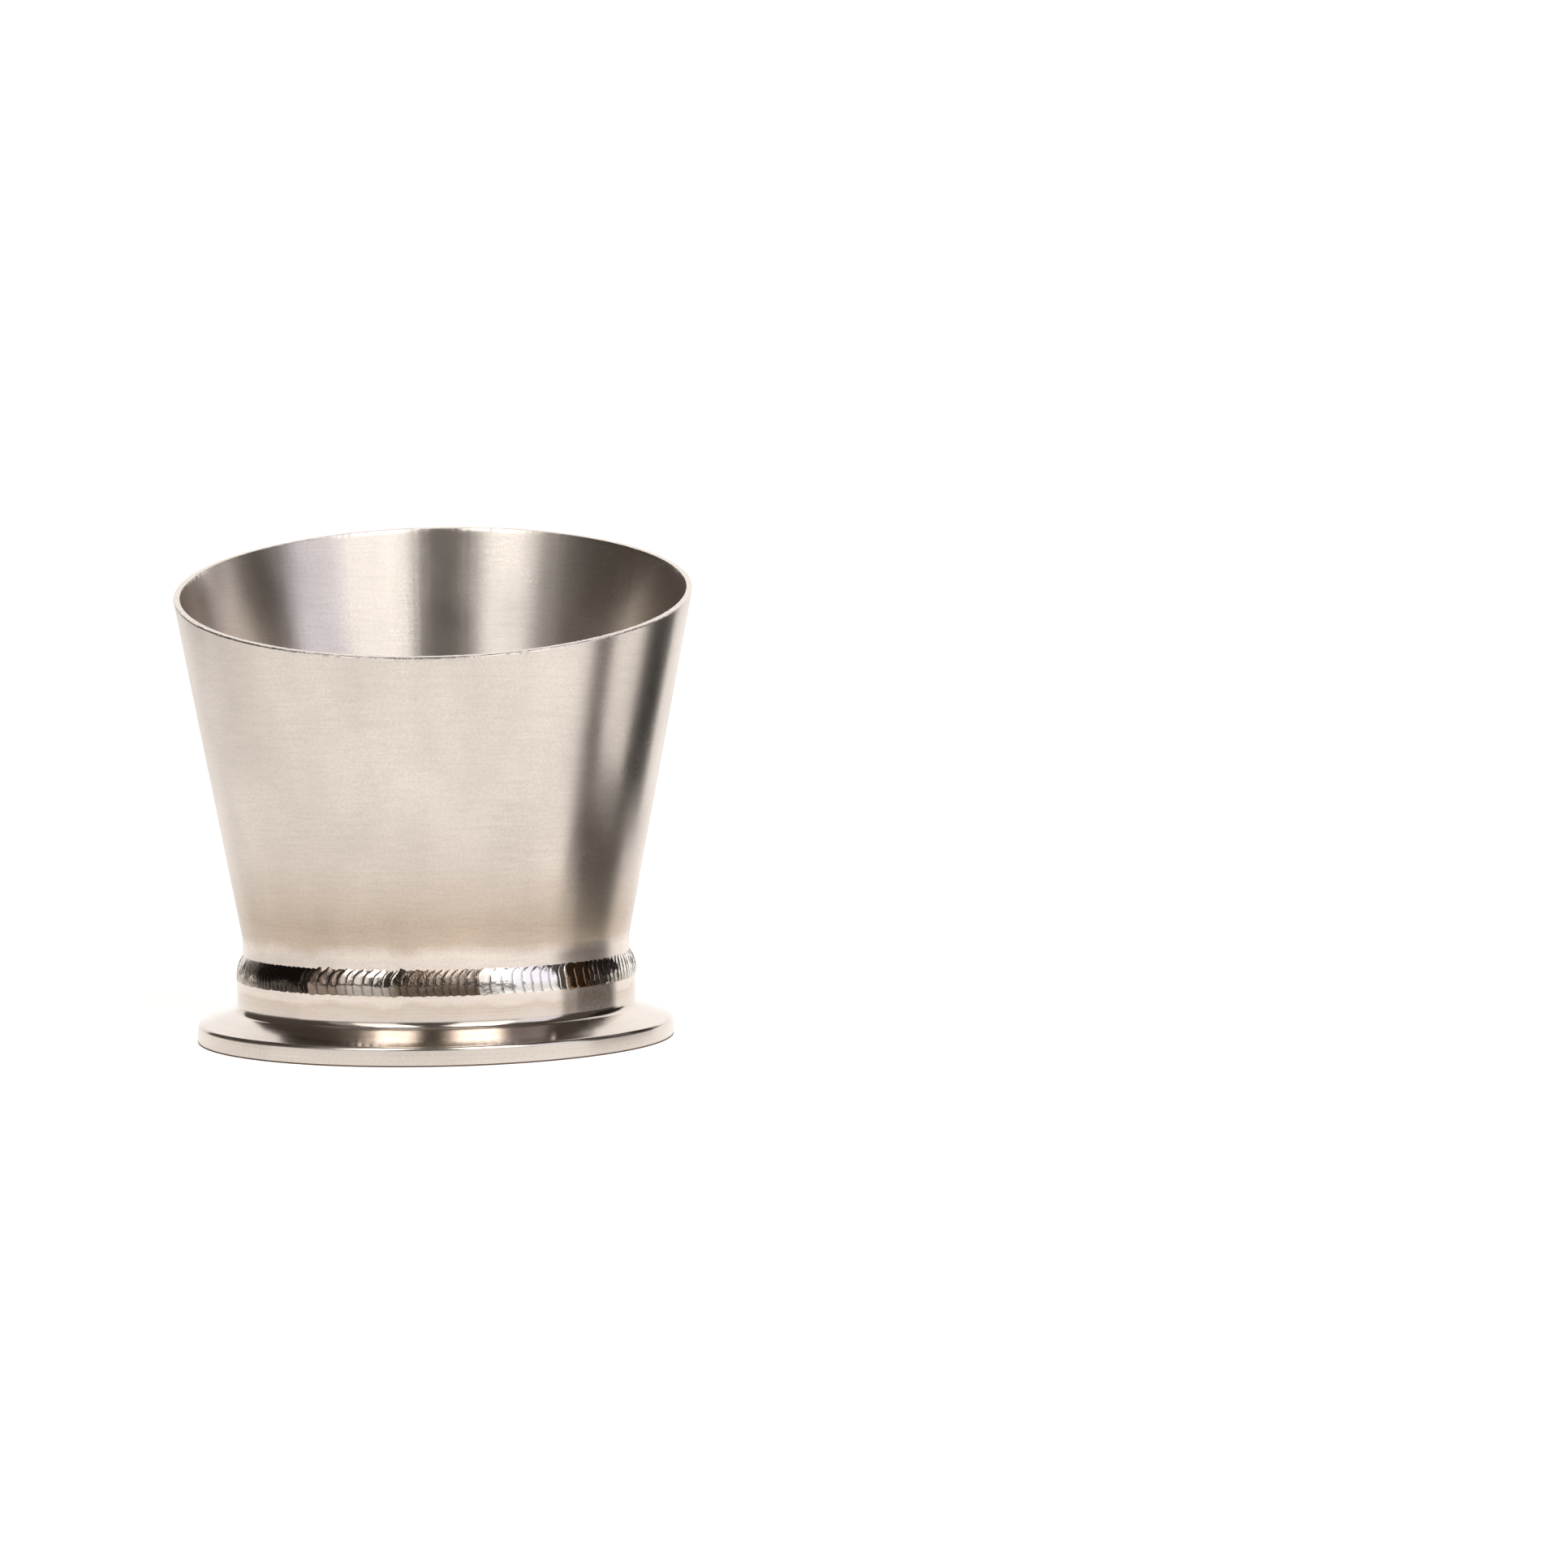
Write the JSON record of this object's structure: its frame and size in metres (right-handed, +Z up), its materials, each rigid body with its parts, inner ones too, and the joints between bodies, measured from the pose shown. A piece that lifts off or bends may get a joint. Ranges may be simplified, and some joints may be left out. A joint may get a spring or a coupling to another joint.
{
  "type": "conical reducer",
  "caption": "Weld-on reducer: a grooved clamp ferrule joined by a ring weld to a thin sheet cone that widens to an open mouth cut at a slant.",
  "frame": {"origin": "centre of the bore on the ferrule's clamp face", "axes": "+Z up the bore, from the clamp face to the mouth; +Y towards the side where the slanted mouth is highest"},
  "size_m": [0.0992, 0.0993, 0.1009],
  "materials": {
    "turned_stainless": "lathe-turned satin",
    "satin_stainless": "fine bead-blasted satin",
    "weld_metal": "bright rippled bead"
  },
  "bodies": {
    "root": {"clamp_ferrule": "turned_stainless", "reducer_cone": "satin_stainless", "weld_run_1": "weld_metal", "weld_run_2": "weld_metal", "weld_run_3": "weld_metal", "weld_run_4": "weld_metal", "weld_run_5": "weld_metal", "weld_run_6": "weld_metal", "weld_run_7": "weld_metal", "weld_run_8": "weld_metal"}
  },
  "joints": []
}
